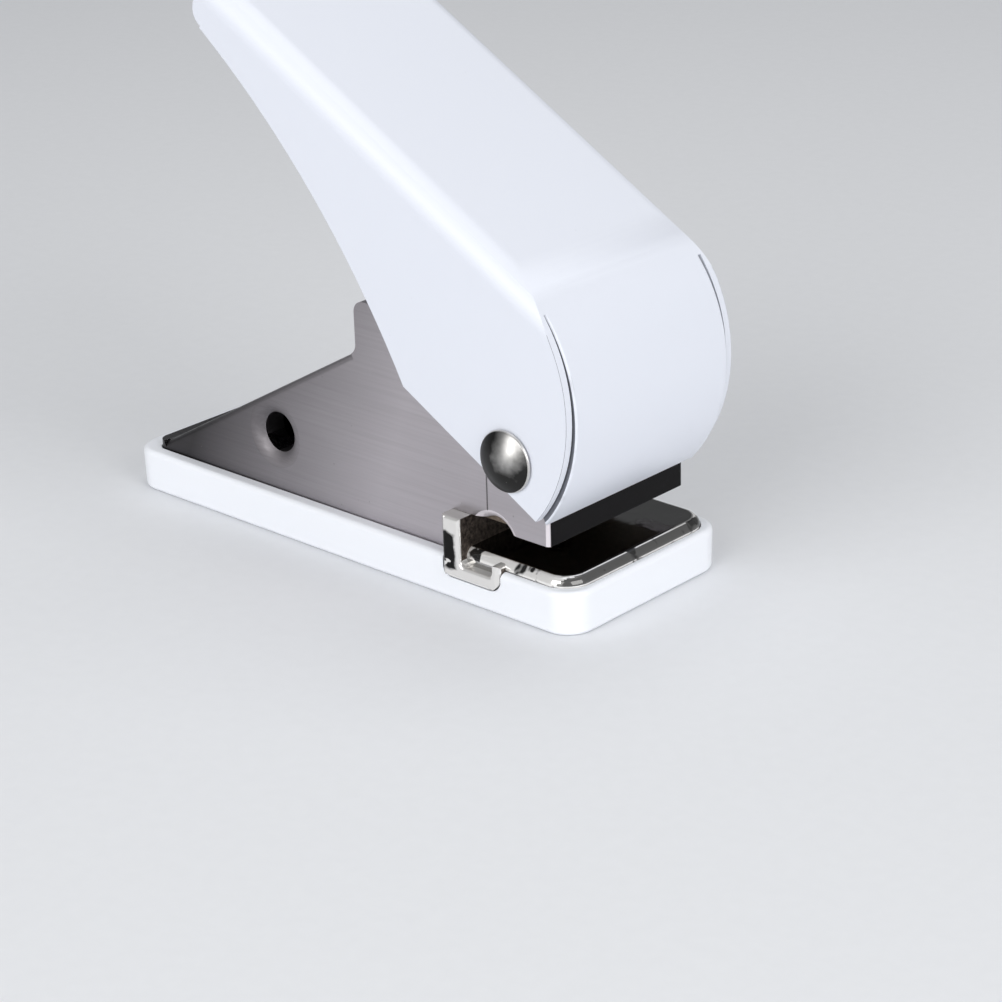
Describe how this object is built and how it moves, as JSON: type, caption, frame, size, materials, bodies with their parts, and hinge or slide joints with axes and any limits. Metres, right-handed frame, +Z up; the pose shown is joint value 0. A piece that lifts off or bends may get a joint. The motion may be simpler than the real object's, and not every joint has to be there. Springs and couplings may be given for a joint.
{
  "type": "dart flight punch",
  "caption": "Small desk punch with a white folded lever, nickel body with a slotted jaw and a white chip tray; pressing the lever drives a sprung punch through a dart flight.",
  "frame": {"origin": "centre of the flat underside of the chip tray", "axes": "+X from the back end to the jaw slot, +Y across to the left when looking to the front, +Z up"},
  "size_m": [0.0762, 0.033, 0.0695],
  "materials": {
    "tray_white": "white moulded plastic with a soft gloss",
    "body_nickel": "nickel-plated casting, flat sides brushed along the length",
    "cover_nickel": "nickel-plated, smooth",
    "guide_cast": "bare cast block, dull",
    "bare_steel": "plain steel",
    "jaw_nickel": "nickel-plated, mirror bright",
    "tool_steel": "hardened and ground",
    "dark_steel": "blackened screw",
    "spring_steel": "drawn wire",
    "lever_white": "white gloss stove enamel on folded sheet",
    "rivet_nickel": "nickel-plated rivet, slightly pitted"
  },
  "bodies": {
    "tray": {"base_tray": "tray_white"},
    "body": {"body_frame": "body_nickel", "front_cover": "cover_nickel", "punch_guide": "guide_cast", "guide_pin": "bare_steel", "die_plate": "jaw_nickel", "die_insert": "tool_steel", "die_screws": "dark_steel", "spring_washer": "bare_steel", "return_spring": "spring_steel", "pivot_rivet": "rivet_nickel", "pivot_spacers": "bare_steel"},
    "lever": {"lever_handle": "lever_white"},
    "punch": {"punch_pin": "tool_steel", "punch_cap": "bare_steel"}
  },
  "joints": [
    {"name": "tray_lift", "type": "slide", "parent": "tray", "child": "body", "axis": [0, 0, 1], "range_m": [0, 0.012]},
    {"name": "lever_hinge", "type": "hinge", "parent": "body", "child": "lever", "pos_m": [0.0291, 0, 0.0204], "axis": [0, -1, 0], "range_deg": [0, 30], "stiffness_Nm_per_rad": 0.3, "springref_deg": -17.19},
    {"name": "punch_slide", "type": "slide", "parent": "body", "child": "punch", "axis": [0, 0, -1], "range_m": [0, 0.00678], "deforming": ["return_spring"]}
  ],
  "couplings": [
    {"joint": "punch_slide", "follows": "lever_hinge", "m_per_rad": 0.012954}
  ]
}
